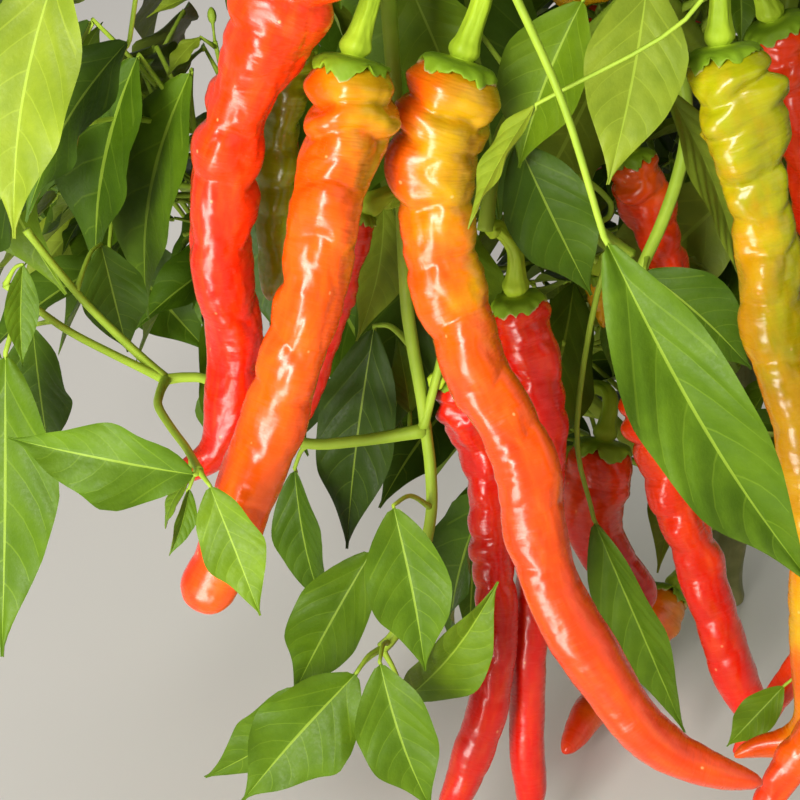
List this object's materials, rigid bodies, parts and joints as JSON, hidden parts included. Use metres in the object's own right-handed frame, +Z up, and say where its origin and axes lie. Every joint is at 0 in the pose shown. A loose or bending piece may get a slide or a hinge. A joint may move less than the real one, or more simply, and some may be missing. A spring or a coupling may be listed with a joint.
{
  "type": "chilli pepper plant",
  "caption": "Rooted chilli pepper plant: a forking stem, drooping pointed leaves and long wrinkled hanging pods, from green to red.",
  "frame": {"origin": "centre of the flat cut under the main stem, at ground level", "axes": "+Z straight up from the ground, the fruiting front that the picture shows faces -Y"},
  "size_m": [0.5867, 0.5473, 0.5887],
  "materials": {
    "woody_stem": "matt, faintly ribbed",
    "green_stem": "satin, ribbed",
    "foliage": "satin leaf",
    "red_pod": "glossy skin",
    "orange_pod": "glossy skin",
    "yellow_pod": "glossy skin",
    "green_pod": "glossy skin"
  },
  "bodies": {
    "root": {"main_stem": "woody_stem", "bough_front": "green_stem", "bough_right": "green_stem", "bough_back": "green_stem", "bough_left": "green_stem", "bough_top": "green_stem", "bough_front_left": "green_stem", "bough_front_right": "green_stem", "bough_right_front": "green_stem", "bough_right_back": "green_stem", "bough_back_right": "green_stem", "bough_back_left": "green_stem", "bough_left_front": "green_stem", "low_bough_left": "green_stem", "low_bough_right": "green_stem", "low_bough_back": "green_stem", "low_bough_front": "green_stem", "pod_red_left": "red_pod", "pod_orange_left": "orange_pod", "pod_orange_centre": "orange_pod", "pod_yellow_right": "yellow_pod", "pod_red_centre": "red_pod", "pod_red_curled": "red_pod", "pod_red_low": "red_pod", "pod_red_shaded": "red_pod", "pod_orange_low": "orange_pod", "pod_red_right": "red_pod", "pod_red_behind": "red_pod", "pod_green_left": "green_pod", "pod_yellow_top": "yellow_pod", "pod_red_slim": "red_pod", "pod_crown_1": "red_pod", "pod_crown_2": "orange_pod", "pod_crown_3": "yellow_pod", "pod_crown_4": "red_pod", "pod_crown_5": "orange_pod", "pod_crown_6": "red_pod", "pod_crown_7": "red_pod", "pod_crown_8": "yellow_pod", "pod_crown_9": "orange_pod", "pod_crown_10": "green_pod", "shoot_front_weeping": "foliage", "shoot_front_middle": "foliage", "crown_low_left": "foliage", "crown_low_front": "foliage", "crown_front_left": "foliage", "crown_front_right": "foliage", "crown_right_front": "foliage", "crown_right_back": "foliage", "crown_back_right": "foliage", "crown_back_left": "foliage", "crown_left_back": "foliage", "crown_left_front": "foliage", "crown_top": "foliage", "crown_low_right": "foliage", "crown_low_back": "foliage"}
  },
  "joints": []
}
